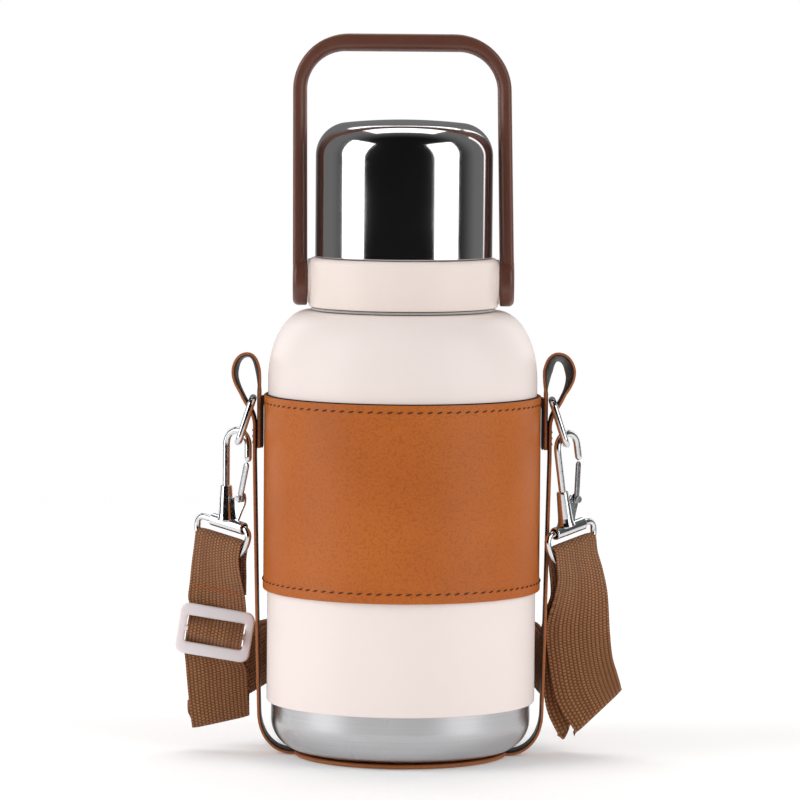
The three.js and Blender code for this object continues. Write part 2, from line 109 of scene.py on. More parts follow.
def softbox(name, azimuth, height, distance, size, watts):
    """An area light at an azimuth round the bottle, 0 at the camera's side, facing its middle."""
    light = bpy.data.lights.new(name, "AREA")
    light.shape = "RECTANGLE"
    light.size, light.size_y = size
    light.energy = watts
    lamp = bpy.data.objects.new(name, light)
    turn = math.radians(azimuth)
    lamp.location = (distance * math.sin(turn), -distance * math.cos(turn), height)
    lamp.rotation_euler = (Vector((0, 0, 0.15)) - lamp.location).to_track_quat("-Z", "Y").to_euler()
    scene.collection.objects.link(lamp)


def make_world():
    """White to the camera, soft fill for matt surfaces. Steel mirrors a room dark in front, paler behind."""
    world = bpy.data.worlds.new("studio")
    world.use_nodes = True
    tree = world.node_tree
    tree.nodes["Background"].inputs["Color"].default_value = (1, 1, 1, 1)

    def choose(factor, first, second):
        node = tree.nodes.new("ShaderNodeMix")
        node.data_type = "FLOAT"
        for socket, value in (("Factor", factor), ("A", first), ("B", second)):
            if isinstance(value, bpy.types.NodeSocket):
                tree.links.new(value, node.inputs[socket])
            else:
                node.inputs[socket].default_value = value
        return node.outputs["Result"]

    rays = tree.nodes.new("ShaderNodeLightPath").outputs
    direction = tree.nodes.new("ShaderNodeSeparateXYZ")
    tree.links.new(tree.nodes.new("ShaderNodeTexCoord").outputs["Generated"], direction.inputs["Vector"])
    behind = tree.nodes.new("ShaderNodeMapRange")
    behind.interpolation_type = "SMOOTHSTEP"
    behind.inputs["From Min"].default_value = -0.3
    behind.inputs["From Max"].default_value = 0.35
    tree.links.new(direction.outputs["Y"], behind.inputs["Value"])
    mirrored = choose(behind.outputs["Result"], ROOM["front"], ROOM["back"])
    lit = choose(rays["Is Diffuse Ray"], mirrored, ROOM["fill"])
    tree.links.new(choose(rays["Is Camera Ray"], lit, 1.0), tree.nodes["Background"].inputs["Strength"])
    scene.world = world


def make_floor():
    """A pale disc that fades out into the white round it."""
    mesh = bpy.data.meshes.new("floor")
    shape = bmesh.new()
    bmesh.ops.create_circle(shape, cap_ends=True, radius=1.3, segments=96)
    shape.to_mesh(mesh)
    floor = bpy.data.objects.new("floor", mesh)
    floor.location.z = -0.0002
    material = bpy.data.materials.new("floor")
    material.use_nodes = True
    tree = material.node_tree
    shader = tree.nodes["Principled BSDF"]
    shader.inputs["Base Color"].default_value = (0.95, 0.95, 0.95, 1)
    shader.inputs["Roughness"].default_value = 0.9
    shader.inputs["Specular IOR Level"].default_value = 0.1
    shader.inputs["Emission Color"].default_value = (1, 1, 1, 1)
    shader.inputs["Emission Strength"].default_value = 0.1
    place = tree.nodes.new("ShaderNodeTexCoord")
    distance = tree.nodes.new("ShaderNodeVectorMath")
    distance.operation = "LENGTH"
    fade = tree.nodes.new("ShaderNodeMapRange")
    fade.interpolation_type = "SMOOTHSTEP"
    fade.inputs["From Min"].default_value = 0.16
    fade.inputs["From Max"].default_value = 1.2
    fade.inputs["To Min"].default_value = 1
    fade.inputs["To Max"].default_value = 0
    tree.links.new(place.outputs["Object"], distance.inputs[0])
    tree.links.new(distance.outputs["Value"], fade.inputs["Value"])
    tree.links.new(fade.outputs["Result"], shader.inputs["Alpha"])
    mesh.materials.append(material)
    scene.collection.objects.link(floor)


# ---- materials ----


class Finish:
    """A material on one Principled shader, with short ways to add the nodes that feed it."""

    def __init__(self, name, roughness, metallic=0.0, **sockets):
        self.material = bpy.data.materials.new(name)
        self.material.use_nodes = True
        self.tree = self.material.node_tree
        self.shader = self.tree.nodes["Principled BSDF"]
        self.shader.inputs["Roughness"].default_value = roughness
        self.shader.inputs["Metallic"].default_value = metallic
        for socket, value in sockets.items():
            self.shader.inputs[socket.replace("_", " ")].default_value = value

    def add(self, kind, settings=None, **sockets):
        node = self.tree.nodes.new("ShaderNode" + kind)
        for key, value in (settings or {}).items():
            setattr(node, key, value)
        for name, value in sockets.items():
            self.put(node.inputs[name.replace("_", " ")], value)
        return node

    def put(self, socket, value):
        if isinstance(value, bpy.types.NodeSocket):
            self.tree.links.new(value, socket)
        else:
            socket.default_value = value

    def math(self, operation, first, second=0.0):
        node = self.add("Math", {"operation": operation})
        self.put(node.inputs[0], first)
        self.put(node.inputs[1], second)
        return node.outputs["Value"]

    def place(self, stretch=(1, 1, 1)):
        """The piece's own coordinates, in metres, stretched for streaks."""
        where = self.add("TexCoord").outputs["Object"]
        return self.add("Mapping", Vector=where, Scale=stretch).outputs["Vector"]

    def noise(self, vector, scale, detail=2.0, roughness=0.5):
        node = self.add("TexNoise", Vector=vector, Scale=scale, Detail=detail, Roughness=roughness)
        return node.outputs["Fac"]

    def cells(self, vector, scale):
        return self.add("TexVoronoi", Vector=vector, Scale=scale).outputs["Distance"]

    def spread(self, value, low, high, from_low=0.3, from_high=0.7):
        node = self.add("MapRange", Value=value, From_Min=from_low, From_Max=from_high)
        node.inputs["To Min"].default_value, node.inputs["To Max"].default_value = low, high
        return node.outputs["Result"]

    def blend(self, factor, first, second):
        node = self.add("Mix", {"data_type": "RGBA"})
        colours = [socket for socket in node.inputs if socket.type == "RGBA"]
        self.put(node.inputs["Factor"], factor)
        self.put(colours[0], first)
        self.put(colours[1], second)
        return next(socket for socket in node.outputs if socket.type == "RGBA")

    def colour(self, value):
        self.put(self.shader.inputs["Base Color"], value)
        return self

    def rough(self, value):
        self.put(self.shader.inputs["Roughness"], value)
        return self

    def bump(self, height, depth, strength=1.0):
        """Relief of that depth, in millimetres."""
        node = self.add("Bump", Height=height, Distance=depth * MM, Strength=strength)
        self.tree.links.new(node.outputs["Normal"], self.shader.inputs["Normal"])
        return self


def rgb(red, green, blue):
    """A colour from its screen values, 0 to 255."""
    return (*[((value / 255 + 0.055) / 1.055) ** 2.4 for value in (red, green, blue)], 1.0)


def coating():
    finish = Finish("powder_coating", 0.42, Specular_IOR_Level=0.35)
    here = finish.place()
    peel = finish.noise(here, 1500, 3)
    finish.colour(finish.blend(finish.noise(here, 14, 2), rgb(240, 228, 223), rgb(235, 222, 217)))
    return finish.rough(finish.spread(finish.noise(here, 60, 3), 0.36, 0.48)).bump(peel, 0.03).material


def brushed_steel():
    finish = Finish("brushed_steel", 0.3, 1.0)
    lines = finish.noise(finish.place((4, 4, 3600)), 1.0, 3, 0.6)
    smudge = finish.noise(finish.place(), 25, 3)
    finish.colour(finish.blend(lines, rgb(176, 176, 178), rgb(206, 206, 208)))
    return finish.rough(finish.spread(smudge, 0.24, 0.36)).bump(lines, 0.006).material


def mirror_steel():
    finish = Finish("polished_steel", 0.09, 1.0)
    grain = finish.noise(finish.place((2600, 2600, 14)), 1.0, 3, 0.6)
    finish.colour(finish.blend(grain, rgb(214, 213, 214), rgb(232, 231, 232)))
    smudge = finish.noise(finish.place(), 30, 3)
    return finish.rough(finish.spread(smudge, 0.07, 0.13)).bump(grain, 0.0012).material


def smooth(name, colours, tone, gloss, texture, **sockets):
    """A smooth finish: tone, gloss and texture each give a noise, and gloss and texture its range or depth."""
    finish = Finish(name, **sockets)
    here = finish.place()
    finish.colour(finish.blend(finish.noise(here, *tone), *colours))
    scale, detail, low, high = gloss
    finish.rough(finish.spread(finish.noise(here, scale, detail), low, high))
    scale, detail, depth = texture
    return finish.bump(finish.noise(here, scale, detail), depth).material


def leather(name, face, shade, edge, lining_and_shade=None):
    """Pebbled hide, its creases between pebbles darkened towards the edge colour as painted shade. A strap's
    inner half, marked by its hide attribute, is a dark lining that is partly painted shade.
    """
    finish = Finish(name, 0.5, Specular_IOR_Level=0.28)
    here = finish.place()
    pebbles = finish.cells(here, 1150)
    creases = finish.noise(here, 420, 4, 0.6)
    grain = finish.math("ADD", finish.math("MULTIPLY", pebbles, 0.8), finish.math("MULTIPLY", creases, 0.6))
    tan = finish.blend(finish.spread(finish.noise(here, 22, 3), 0, 1), shade, face)
    # Painted shade: the creases between pebbles are darkened towards the edge colour.
    crease_shaded = finish.blend(finish.spread(pebbles, 0, 0.35, 0.45, 0.8), tan, edge)
    # The dark lining on a strap's inner half is partly a lining and partly painted shade along its inner side.
    if lining_and_shade:
        side = finish.add("Attribute", {"attribute_name": "hide"}).outputs["Fac"]
        crease_shaded = finish.blend(side, crease_shaded, lining_and_shade)
    finish.colour(crease_shaded)
    return finish.rough(finish.spread(pebbles, 0.6, 0.42, 0.1, 0.7)).bump(grain, 0.09).material


def lining():
    finish = Finish("felt_lining", 0.9, Sheen_Weight=0.15, Specular_IOR_Level=0.2)
    here = finish.place()
    fibres = finish.noise(here, 2200, 4, 0.7)
    finish.colour(finish.blend(fibres, rgb(22, 17, 15), rgb(44, 36, 32)))
    return finish.bump(fibres, 0.12).material


def silicone():
    finish = Finish("silicone", 0.6, Specular_IOR_Level=0.3, Subsurface_Weight=0.2)
    here = finish.place()
    finish.colour(finish.blend(finish.noise(here, 60, 2), rgb(200, 194, 188), rgb(184, 178, 172)))
    return finish.bump(finish.noise(here, 3000, 2), 0.02).material


def thread(name, light, dark):
    """Twisted sewing thread."""
    finish = Finish(name, 0.7, Specular_IOR_Level=0.3)
    twist = finish.noise(finish.place(), 3200, 2)
    finish.colour(finish.blend(twist, dark, light))
    return finish.bump(twist, 0.06).material


def webbing():
    """Coarse basket weave, laid out along and across the strap, with painted shade darkening the gaps between its
    knots.
    """
    finish = Finish("webbing", 0.85, Specular_IOR_Level=0.25, Sheen_Weight=0.12)
    lay = finish.add("Attribute", {"attribute_name": "lay"}).outputs["Vector"]
    parts = finish.add("SeparateXYZ", Vector=lay)
    column = finish.math("DIVIDE", parts.outputs["Y"], WEAVE["column"])
    parity = finish.math("MODULO", finish.math("FLOOR", finish.math("ADD", column, 100)), 2)
    offset = finish.math("MULTIPLY", parity, 0.5)
    row = finish.math("ADD", finish.math("DIVIDE", parts.outputs["X"], WEAVE["row"]), offset)
    across = finish.math("ABSOLUTE", finish.math("SINE", finish.math("MULTIPLY", column, math.pi)))
    along = finish.math("ABSOLUTE", finish.math("SINE", finish.math("MULTIPLY", row, math.pi)))
    knot = finish.math("POWER", finish.math("MULTIPLY", across, along), 0.6)
    yarn = finish.noise(lay, 3.2, 3, 0.6)
    fuzz = finish.math("ADD", knot, finish.math("MULTIPLY", yarn, 0.5))
    # Painted shade: the colour runs from dark in the gaps between the knots to light on their tops.
    shade = finish.blend(finish.spread(fuzz, 0, 1, 0.2, 1.3), rgb(66, 36, 18), rgb(178, 122, 80))
    streaks = finish.noise(finish.add("Mapping", Vector=lay, Scale=(0.02, 0.5, 1)).outputs["Vector"], 1.0, 2)
    finish.colour(finish.blend(finish.spread(streaks, 0, 0.35), shade, rgb(98, 56, 30)))
    return finish.bump(fuzz, 0.35).material


def make_materials():
    chrome = smooth(
        "chrome", (rgb(206, 208, 210), rgb(232, 233, 234)), (300, 3), (700, 4, 0.06, 0.2), (900, 2, 0.01),
        roughness=0.08, metallic=1.0,
    )
    spring_steel = smooth(
        "spring_steel", (rgb(150, 150, 152), rgb(196, 196, 198)), (500, 3), (900, 3, 0.2, 0.36), (2500, 2, 0.008),
        roughness=0.26, metallic=1.0,
    )
    brown_plastic = smooth(
        "brown_plastic", (rgb(102, 60, 46), rgb(92, 52, 39)), (30, 2), (180, 3, 0.3, 0.42), (2800, 2, 0.014),
        roughness=0.36, Specular_IOR_Level=0.5,
    )
    white_plastic = smooth(
        "white_plastic", (rgb(243, 227, 219), rgb(238, 221, 213)), (20, 2), (200, 3, 0.36, 0.5), (3000, 2, 0.012),
        roughness=0.42, Specular_IOR_Level=0.4, Subsurface_Weight=0.05,
    )
    slider_plastic = smooth(
        "slider_plastic", (rgb(238, 228, 230), rgb(229, 218, 221)), (40, 2), (300, 3, 0.28, 0.42),
        (2500, 2, 0.012), roughness=0.35, Specular_IOR_Level=0.45, Subsurface_Weight=0.1,
    )
    # The arms' colours: face, a darker tone, the edge colour (painted shade in the creases between pebbles), and
    # the dark lining, which is partly painted shade on their inner side.
    arms = (rgb(164, 98, 54), rgb(150, 86, 45), rgb(120, 66, 34), rgb(46, 28, 21))
    return {
        "coating": coating(),
        "base_steel": brushed_steel(),
        "polished_steel": mirror_steel(),
        "chrome": chrome,
        "spring_steel": spring_steel,
        # The third colour is painted shade for the creases between pebbles.
        "leather": leather("leather", rgb(184, 99, 34), rgb(174, 90, 28), rgb(134, 66, 20)),
        "strap_leather": leather("strap_leather", *arms),
        "lining": lining(),
        "brown_plastic": brown_plastic,
        "white_plastic": white_plastic,
        "slider_plastic": slider_plastic,
        "silicone": silicone(),
        "webbing": webbing(),
        "dark_thread": thread("dark_thread", rgb(92, 48, 26), rgb(58, 28, 16)),
        "orange_thread": thread("orange_thread", rgb(196, 112, 56), rgb(150, 76, 36)),
    }


# ---- shapes: each is a list of vertices, in millimetres, and a list of faces ----


def arc(cx, cz, rx, rz, start, end, steps):
    """Points on an arc of an ellipse, from one angle to another, in degrees."""
    angles = [math.radians(start + (end - start) * i / steps) for i in range(steps + 1)]
    return [(cx + rx * math.cos(angle), cz + rz * math.sin(angle)) for angle in angles]


def bezier(start, first, second, end, steps=20):
    """Points on a cubic curve, without its first."""
    points = []
    for i in range(1, steps + 1):
        t = i / steps
        weights = ((1 - t) ** 3, 3 * t * (1 - t) ** 2, 3 * t * t * (1 - t), t**3)
        corners = (start, first, second, end)
        points.append(tuple(sum(w * c[k] for w, c in zip(weights, corners)) for k in (0, 1)))
    return points


def spaced(points, step):
    """The same polyline with points at an even spacing, and the last point kept."""
    points = [Vector(p) for p in points]
    lengths = [0.0]
    for a, b in zip(points, points[1:]):
        lengths.append(lengths[-1] + (b - a).length)
    count = max(1, round(lengths[-1] / step))
    result, at = [], 0
    for i in range(count + 1):
        target = lengths[-1] * i / count
        while at < len(points) - 2 and lengths[at + 1] < target:
            at += 1
        share = (target - lengths[at]) / max(lengths[at + 1] - lengths[at], 1e-9)
        result.append(points[at].lerp(points[at + 1], min(max(share, 0), 1)))
    return result


def loft(rings, loop=False):
    """A skin over rings of points, closed by flat ends, or joined end to end."""
    size = len(rings[0])
    vertices = [Vector(p) for ring in rings for p in ring]
    faces = []
    for i in range(len(rings) if loop else len(rings) - 1):
        a, b = i * size, (i + 1) % len(rings) * size
        faces += [(a + j, a + (j + 1) % size, b + (j + 1) % size, b + j) for j in range(size)]
    if not loop:
        faces.append(tuple(reversed(range(size))))
        faces.append(tuple(range(len(vertices) - size, len(vertices))))
    return vertices, faces


def braced(profile):
    """The profile with points close to the ends of its long straights, which keeps them looking flat."""
    points = [profile[0]]
    for a, b in zip(profile, profile[1:]):
        length = math.dist(a, b)
        if length > 1.5:
            count = max(1, round((length - 0.4) / 6))
            shares = [(0.2 + (length - 0.4) * k / count) / length for k in range(count + 1)]
            points += [(a[0] + (b[0] - a[0]) * t, a[1] + (b[1] - a[1]) * t) for t in shares]
        points.append(b)
    return points


def turned(profile, segments=192):
    """A profile of (radius, height) points turned about Z. It starts and ends on the axis, or is a loop."""
    closed = braced(profile if profile[0][0] == 0 else [*profile, profile[0]])
    vertices, faces = [], []
    for i in range(segments):
        angle = 2 * math.pi * i / segments
        vertices += [Vector((r * math.cos(angle), r * math.sin(angle), z)) for r, z in closed]
    size = len(closed)
    for i in range(segments):
        a, b = i * size, (i + 1) % segments * size
        faces += [(a + j, b + j, b + j + 1, a + j + 1) for j in range(size - 1)]
    return vertices, faces


def moved(shape, matrix):
    return [matrix @ v for v in shape[0]], shape[1]


def merged(*shapes):
    vertices, faces = [], []
    for more_vertices, more_faces in shapes:
        start = len(vertices)
        vertices += more_vertices
        faces += [tuple(start + i for i in face) for face in more_faces]
    return vertices, faces


def rounded(width, height, radius, steps=4):
    """A rounded rectangle's points about its centre."""
    radius = min(radius, width / 2, height / 2)
    points = []
    for turn, (x, y) in enumerate(((1, 1), (-1, 1), (-1, -1), (1, -1))):
        cx, cy = x * (width / 2 - radius), y * (height / 2 - radius)
        points += arc(cx, cy, radius, radius, turn * 90, turn * 90 + 90, steps)
    return points


def bail_section(width, depth):
    """A bar's section, squarer on its outside than towards the hand: (outward, depth) points."""
    crisp, soft, deep = 1.6, 3.3, 4.4
    right, left, high = width / 2, -width / 2, depth / 2
    points = arc(right - crisp, high - crisp, crisp, crisp, 0, 90, 4)
    points += arc(left + soft, high - deep, soft, deep, 90, 180, 6)
    points += arc(left + soft, deep - high, soft, deep, 180, 270, 6)
    return [*points, *arc(right - crisp, crisp - high, crisp, crisp, 270, 360, 4)]


def tube(path, radius, normal, loop=False, sides=16, domed=False):
    """Round wire along a flat path; normal is the path's plane's."""
    normal = Vector(normal).normalized()
    path = [Vector(p) for p in path]
    last = len(path) - 1
    rings = []
    for i, here in enumerate(path):
        before = path[i - 1] if i or loop else here
        after = path[(i + 1) % len(path)] if i < last or loop else here
        out = (after - before).normalized().cross(normal)
        turns = [2 * math.pi * k / sides for k in range(sides)]
        rings.append([here + (out * math.cos(t) + normal * math.sin(t)) * radius for t in turns])
    if domed:
        tip, along = path[-1], (path[-1] - path[-2]).normalized()
        for lift in (30, 55, 75, 86):
            share = math.cos(math.radians(lift))
            ahead = along * radius * math.sin(math.radians(lift))
            rings.append([tip + (p - tip) * share + ahead for p in rings[last]])
    return loft(rings, loop)


def rail(outer, inner, section_of, normal, loop=False):
    """A bar between two flat outlines of equally many points. section_of turns its width into its section."""
    normal = Vector(normal)
    rings = []
    for a, b in zip(outer, inner):
        middle, across = (a + b) / 2, a - b
        out = across.normalized()
        rings.append([middle + out * x + normal * y for x, y in section_of(across.length)])
    return loft(rings, loop)


def plate(outline, thickness):
    """A flat outline in the XZ plane with thickness along Y, centred on Y = 0."""
    return loft([[Vector((x, y, z)) for x, z in outline] for y in (-thickness / 2, thickness / 2)])


def stitch(centre, along, out, length=2.7, radius=0.3):
    """One stitch, standing out of the hide in its middle and sinking in at both ends."""
    side = along.cross(out).normalized()
    rings = []
    for i in range(6):
        t = -1 + 2 * i / 5
        thick = radius * (0.35 + 0.65 * math.sqrt(max(1 - t * t, 0)))
        middle = centre + along * (t * length / 2) + out * (0.12 - 0.3 * t * t)
        turns = [math.pi * k / 3 for k in range(6)]
        rings.append([middle + (side * math.cos(a) + out * math.sin(a)) * thick for a in turns])
    return loft(rings)


def place(name, shape, finish, body, stands_for=(), sharp=38, bevel=0.0, hide=(), lay=()):
    """Makes a piece from a shape, with its finish, body and CAD nodes, and its points' hide or lay values."""
    mesh = bpy.data.meshes.new(name)
    mesh.from_pydata([tuple(v * MM) for v in shape[0]], [], shape[1])
    if hide:
        mesh.attributes.new("hide", "FLOAT", "POINT").data.foreach_set("value", hide)
    if lay:
        spots = mesh.attributes.new("lay", "FLOAT_VECTOR", "POINT")
        spots.data.foreach_set("vector", [value for spot in lay for value in spot])
    tidy = bmesh.new()
    tidy.from_mesh(mesh)
    bmesh.ops.remove_doubles(tidy, verts=tidy.verts, dist=1e-7)
    bmesh.ops.recalc_face_normals(tidy, faces=tidy.faces)
    tidy.to_mesh(mesh)
    mesh.shade_smooth()
    mesh.set_sharp_from_angle(angle=math.radians(sharp))
    mesh.materials.append(materials[finish])
    piece = bpy.data.objects.new(name, mesh)
    scene.collection.objects.link(piece)
    if bevel:
        edges = piece.modifiers.new("edges", "BEVEL")
        edges.width = bevel * MM
        edges.segments = 3
    if body:
        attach(piece, body)
    if stands_for:
        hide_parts(*stands_for)
    return piece


# ---- bottle ----


def shoulder(inset, start, end, steps):
    width, height = SHOULDER["width"] - inset, SHOULDER["height"] - inset
    return arc(SHOULDER["inner"], SHELL["straight_top"], width, height, start, end, steps)


def bottle_shell():
    radius, wall, bottom = SHELL["radius"], SHELL["wall"], SHELL["bottom"]
    top = SHELL["straight_top"] + SHOULDER["height"]
    lip = arc(radius - 0.5, bottom + 0.5, 0.5, 0.5, -90, 0, 4)
    return turned([
        *lip,
        *shoulder(0, 0, 90, 36),
        (SHELL["mouth"], top),
        (SHELL["mouth"], top - wall),
        *shoulder(wall, 90, 0, 18),
        (radius - wall, bottom),
    ])


def base_cup():
    radius, wall, corner, bottom = BASE["radius"], BASE["wall"], BASE["corner"], BASE["bottom"]
    across, up = radius - corner, bottom + corner
    return turned([
        (0, bottom),
        *arc(across, up, corner, corner, -90, 0, 20),
        (radius, BASE["top"]),
        (radius - wall, BASE["top"]),
        *arc(across, up, corner - wall, corner - wall, 0, -90, 12),
        (0, bottom + wall),
    ])


def liner():
    wall, bottom, bend = LINER["wall"], LINER["bottom"], LINER["bend"]
    inset = SHELL["radius"] - LINER["radius"]
    outside = shoulder(inset, 0, 90, 20)
    inside = shoulder(inset + wall, 90, 0, 20)
    middle = LINER["radius"] - bend
    return turned([
        (0, bottom),
        *arc(middle, bottom + bend, bend, bend, -90, 0, 8),
        *outside,
        (LINER["neck"], outside[-1][1]),
        (LINER["neck"], LINER["mouth"]),
        (LINER["neck"] - wall, LINER["mouth"]),
        (LINER["neck"] - wall, inside[0][1]),
        *inside,
        *arc(middle, bottom + bend, bend - wall, bend - wall, 0, -90, 8),
        (0, bottom + wall),
    ])


def neck_ring():
    """The ring round the neck with its screw thread."""
    inner, outer, bottom, top = NECK["inner"], NECK["outer"], NECK["bottom"], NECK["top"]
    ring = turned([(inner, bottom), (outer, bottom), (outer, top - 0.4), (outer - 0.4, top), (inner, top)])
    turns, steps = 2.2, 220
    rings = []
    for i in range(steps + 1):
        angle = 2 * math.pi * turns * i / steps
        out = Vector((math.cos(angle), math.sin(angle), 0))
        height = bottom + 2.6 + 11 * i / steps
        proud = NECK["thread"] * min(1, 12 * i / steps, 12 * (steps - i) / steps)
        corners = [(-0.2, -1.3), (proud, -0.4), (proud, 0.4), (-0.2, 1.3)]
        rings.append([out * (outer + r) + Vector((0, 0, height + z)) for r, z in corners])
    return merged(ring, loft(rings))


def sleeve():
    """The leather sleeve, its edges turned in and a little thicker as far as the hem."""
    inner, outer, bottom, top = SLEEVE["inner"], SLEEVE["outer"], SLEEVE["bottom"], SLEEVE["top"]
    hem, proud = SLEEVE["hem"], SLEEVE["proud"]
    mouth = (inner + outer + proud) / 2
    half = outer + proud - mouth
    lower_edge = arc(mouth, bottom + half, half, half, -180, 0, 8)
    upper_edge = arc(mouth, top - half, half, half, 0, 180, 8)
    return turned([
        *lower_edge,
        (outer + proud, bottom + hem - 0.8),
        (outer, bottom + hem + 0.6),
        (outer, top - hem - 0.6),
        (outer + proud, top - hem + 0.8),
        *upper_edge,
    ])


def sleeve_lining():
    inner, outer = SHELL["radius"] + 0.2, SLEEVE["inner"] - 0.2
    bottom, top = SLEEVE["bottom"] + 1, SLEEVE["top"] + 0.4
    return turned([(inner, bottom), (outer, bottom), (outer, top - 0.1), (outer - 0.12, top), (inner, top)])


def sleeve_seam():
    """The sleeve's overlapped join at the back of the bottle."""
    low, high = SLEEVE["bottom"] + 0.5, SLEEVE["top"] - 0.5
    radius = SLEEVE["outer"] + SLEEVE["proud"] - 0.1
    rings = []
    for z in (low, high):
        ring = []
        for across, lift in rounded(11, 0.9, 0.4):
            angle = math.pi / 2 + across / radius
            reach = radius + 0.3 + lift
            ring.append(Vector((reach * math.cos(angle), reach * math.sin(angle), z)))
        rings.append(ring)
    return loft(rings)


def sleeve_stitches():
    """A slanted row along each hem, and two down the seam at the back."""
    shapes = []
    radius = SLEEVE["outer"] + SLEEVE["proud"]
    count = round(2 * math.pi * radius / STITCH_PITCH)
    slant = math.radians(14)
    for height in (SLEEVE["top"] - 2.9, SLEEVE["bottom"] + 3.9):
        for i in range(count):
            angle = 2 * math.pi * (i + 0.5) / count
            out = Vector((math.cos(angle), math.sin(angle), 0))
            tangent = Vector((-out.y, out.x, 0))
            along = tangent * math.cos(slant) + Vector((0, 0, math.sin(slant)))
            shapes.append(stitch(out * radius + Vector((0, 0, height)), along, out))
    for across in (-3.6, 3.6):
        angle = math.pi / 2 + across / radius
        out = Vector((math.cos(angle), math.sin(angle), 0))
        span = SLEEVE["top"] - SLEEVE["bottom"] - 12
        rows = round(span / STITCH_PITCH)
        for i in range(rows + 1):
            height = SLEEVE["bottom"] + 6 + span * i / rows
            shapes.append(stitch(out * (radius + 0.65) + Vector((0, 0, height)), Vector((0, 0, 1)), out))
    return merged(*shapes)


# ---- leather cradle ----


def arm_path():
    """The right arm's middle line in the XZ plane, from its free end to under the bottle."""
    inner, outer = STRAP["inner_ply"], STRAP["outer_ply"]
    points = [(inner, STRAP["fold_end"]), (inner, 147)]
    points += bezier(points[-1], (58.5, 155), (59.2, 163.8), (63.4, 163.8))
    points += bezier(points[-1], (66.8, 163.8), (68.6, 160.2), (68.6, 156.2))
    points += bezier(points[-1], (68.6, 152.8), (66.5, 149.6), (65.2, 146.8))
    points += bezier(points[-1], (63.6, 143.2), (outer, 140.5), (outer, 135))
    points += [(outer, 122), (58.7, 45), (58, 18)]
    points += bezier(points[-1], (58, 8), (52.5, PAD["thickness"] / 2), (44, PAD["thickness"] / 2))
    return spaced([*points, (36, PAD["thickness"] / 2)], 1.0)


def arm_stations(side, twist):
    """(centre, outward, across) along an arm; twist turns the loop's top, in degrees."""
    path = arm_path()
    stations = []
    for i, (x, z) in enumerate(path):
        before, after = path[max(i - 1, 0)], path[min(i + 1, len(path) - 1)]
        along = Vector((side * (after.x - before.x), 0, after.y - before.y)).normalized()
        lift = min(max((z - 149) / 9, 0), 1)
        turn = Matrix.Rotation(math.radians(twist * lift), 3, along)
        out = turn @ Vector((along.z * -side, 0, along.x * side))
        stations.append((Vector((side * x, 0, z)), out, turn @ Vector((0, 1, 0))))
    return stations


def cradle(side_twists):
    """The round pad and both arms, and how far each vertex is on an arm's dark lining, which is partly painted
    shade.
    """
    pad_radius, thickness = PAD["radius"], PAD["thickness"]
    half = thickness / 2
    pad = turned([(0, 0), *arc(pad_radius - half, half, half, half, -90, 90, 6), (0, thickness)], 96)
    arms = []
    section = rounded(STRAP["thickness"], STRAP["width"], 0.55)
    backs = [0.0] * len(pad[0])
    for side, twist in side_twists.items():
        rings = [
            [centre + out * x + across * y for x, y in section]
            for centre, out, across in arm_stations(SIDES[side], twist)
        ]
        arms.append(loft(rings))
        for _ in rings:
            # Points on an arm's inner half take the dark lining colour, which is partly painted shade.
            backs += [1.0 if x < -0.3 else 0.0 for x, y in section]
    return merged(pad, *arms), backs


def loop_stitches(side):
    """Three short rows through both plies at the foot of a loop."""
    shapes = []
    out = Vector((SIDES[side], 0, 0))
    face = STRAP["outer_ply"] + STRAP["thickness"] / 2
    for height in (128, 130.5, 133):
        for i in range(3):
            spot = Vector((SIDES[side] * face, -3 + 3 * i, height))
            shapes.append(stitch(spot, Vector((0, 1, 0)), out, 2.2))
    return merged(*shapes)


def keeper(side):
    """The tab that the loop is sewn to, dark from the lining finish, which is partly its own colour and partly
    painted shade.
    """
    thickness, height = 0.8, 21
    x = STRAP["inner_ply"] - STRAP["thickness"] / 2 - 0.15 - thickness / 2
    rings = []
    for offset, inset in ((-0.4, 0.35), (-0.25, 0.1), (0, 0), (0.25, 0.1), (0.4, 0.35)):
        outline = rounded(STRAP["width"] - inset, height - inset, 1.4)
        middle = Vector((side * (x + offset), 0, STRAP["fold_end"] + height / 2))
        rings.append([middle + Vector((0, y, z)) for y, z in outline])
    return loft(rings)


# ---- lid ----


def collar():
    radius, bottom, top, bore = COLLAR["radius"], COLLAR["bottom"], COLLAR["top"], COLLAR["bore"]
    hole, spigot, under = COLLAR["hole"], COLLAR["spigot"], COLLAR["top"] - COLLAR["plate"]
    edge, foot = 2.2, 0.5
    body = turned([
        (bore, bottom),
        *arc(radius - foot, bottom + foot, foot, foot, -90, 0, 4),
        *arc(radius - edge, top - edge, edge, edge, 0, 90, 8),
        (spigot, top),
        (spigot, top + 2),
        (spigot + 0.45, top + 3),
        (spigot, top + 4),
        (spigot, top + 6.5),
        (spigot - 0.5, top + 7),
        (hole + 1, top + 7),
        (hole, top),
        (hole, under),
        (bore, under),
    ])
    reach = HANDLE["inner"] - 0.3
    boss = turned([(3.15, 34.5), (9.2, 34.5), *arc(8.7, reach - 0.5, 0.5, 0.5, 0, 90, 4), (3.15, reach)], 64)
    bosses = []
    for side in (1, -1):
        turn = Matrix.Rotation(math.radians(90 * side), 4, "Y")
        bosses.append(moved(boss, Matrix.Translation((0, 0, HANDLE["pivot"])) @ turn))
    return merged(body, *bosses)


